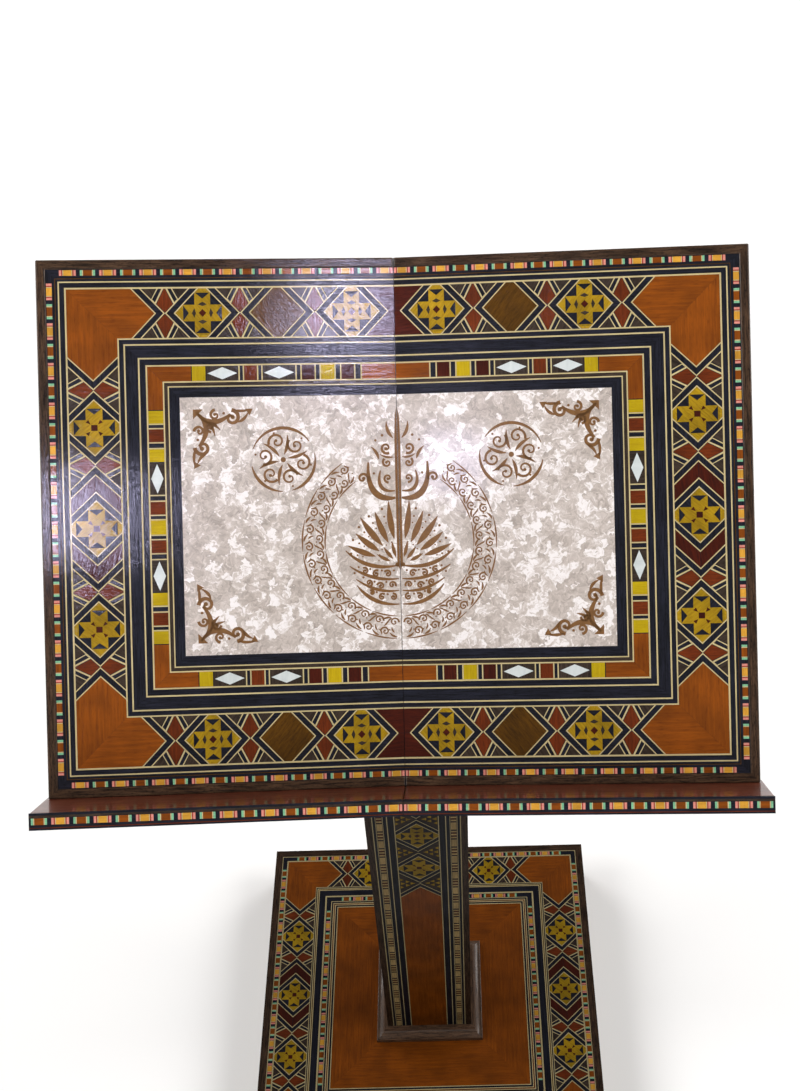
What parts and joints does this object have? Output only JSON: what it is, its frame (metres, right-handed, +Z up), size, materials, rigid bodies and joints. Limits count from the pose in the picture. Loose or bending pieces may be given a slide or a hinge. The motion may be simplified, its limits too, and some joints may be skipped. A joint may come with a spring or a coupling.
{
  "type": "quran stand",
  "caption": "Floor-standing wooden lectern with an open-book rest in a shallow V, a ledge, a square column and a square base, all inlaid.",
  "frame": {"origin": "centre of the base's underside, on the floor and on the column's axis", "axes": "+Z up, +X to the reader's right, -Y towards the reader"},
  "size_m": [0.5058, 0.3853, 0.9591],
  "materials": {
    "brown_wood": "high-gloss varnish over red-brown stained wood",
    "dark_walnut": "high-gloss varnish over dark walnut",
    "orange_wood": "high-gloss varnish over orange-red veneer",
    "carcass_wood": "satin varnish over stained beech",
    "inlay_mosaic": "high-gloss varnish over coloured wood mosaic",
    "black_stringing": "high-gloss varnish over dyed black wood with pale lines",
    "mother_of_pearl": "polished flaked pearl with engraved gold-brown ornament",
    "screw_steel": "zinc-plated steel",
    "green_felt": "matt wool felt"
  },
  "bodies": {
    "root": {"base_black_band": "black_stringing", "base_border": "dark_walnut", "base_bottom_board": "carcass_wood", "base_felt": "green_felt", "base_field": "orange_wood", "base_front_board": "carcass_wood", "base_front_marquetry": "inlay_mosaic", "base_inner_strip": "inlay_mosaic", "base_left_board": "carcass_wood", "base_left_marquetry": "inlay_mosaic", "base_rear_board": "carcass_wood", "base_rear_marquetry": "inlay_mosaic", "base_right_board": "carcass_wood", "base_right_marquetry": "inlay_mosaic", "base_star_band": "inlay_mosaic", "base_tile_strip": "inlay_mosaic", "base_top_board": "carcass_wood", "batten_screws": "screw_steel", "column_foot_block": "carcass_wood", "column_foot_moulding": "dark_walnut", "column_front_board": "carcass_wood", "column_front_marquetry": "inlay_mosaic", "column_left_board": "carcass_wood", "column_left_marquetry": "inlay_mosaic", "column_rear_board": "carcass_wood", "column_rear_marquetry": "inlay_mosaic", "column_right_board": "carcass_wood", "column_right_marquetry": "inlay_mosaic", "column_top_block": "carcass_wood", "foot_screws": "screw_steel", "head_saddle": "carcass_wood", "left_colour_strip": "inlay_mosaic", "left_inner_stringing": "black_stringing", "left_leaf_core": "brown_wood", "left_leaf_lipping": "dark_walnut", "left_ledge": "brown_wood", "left_ledge_strip": "inlay_mosaic", "left_outer_stringing": "black_stringing", "left_pearl_frame": "black_stringing", "left_pearl_plate": "mother_of_pearl", "left_star_band": "inlay_mosaic", "left_tile_strip": "inlay_mosaic", "lower_batten": "carcass_wood", "right_colour_strip": "inlay_mosaic", "right_inner_stringing": "black_stringing", "right_leaf_core": "brown_wood", "right_leaf_lipping": "dark_walnut", "right_ledge": "brown_wood", "right_ledge_strip": "inlay_mosaic", "right_outer_stringing": "black_stringing", "right_pearl_frame": "black_stringing", "right_pearl_plate": "mother_of_pearl", "right_star_band": "inlay_mosaic", "right_tile_strip": "inlay_mosaic", "saddle_screws": "screw_steel", "upper_batten": "carcass_wood"}
  },
  "joints": []
}
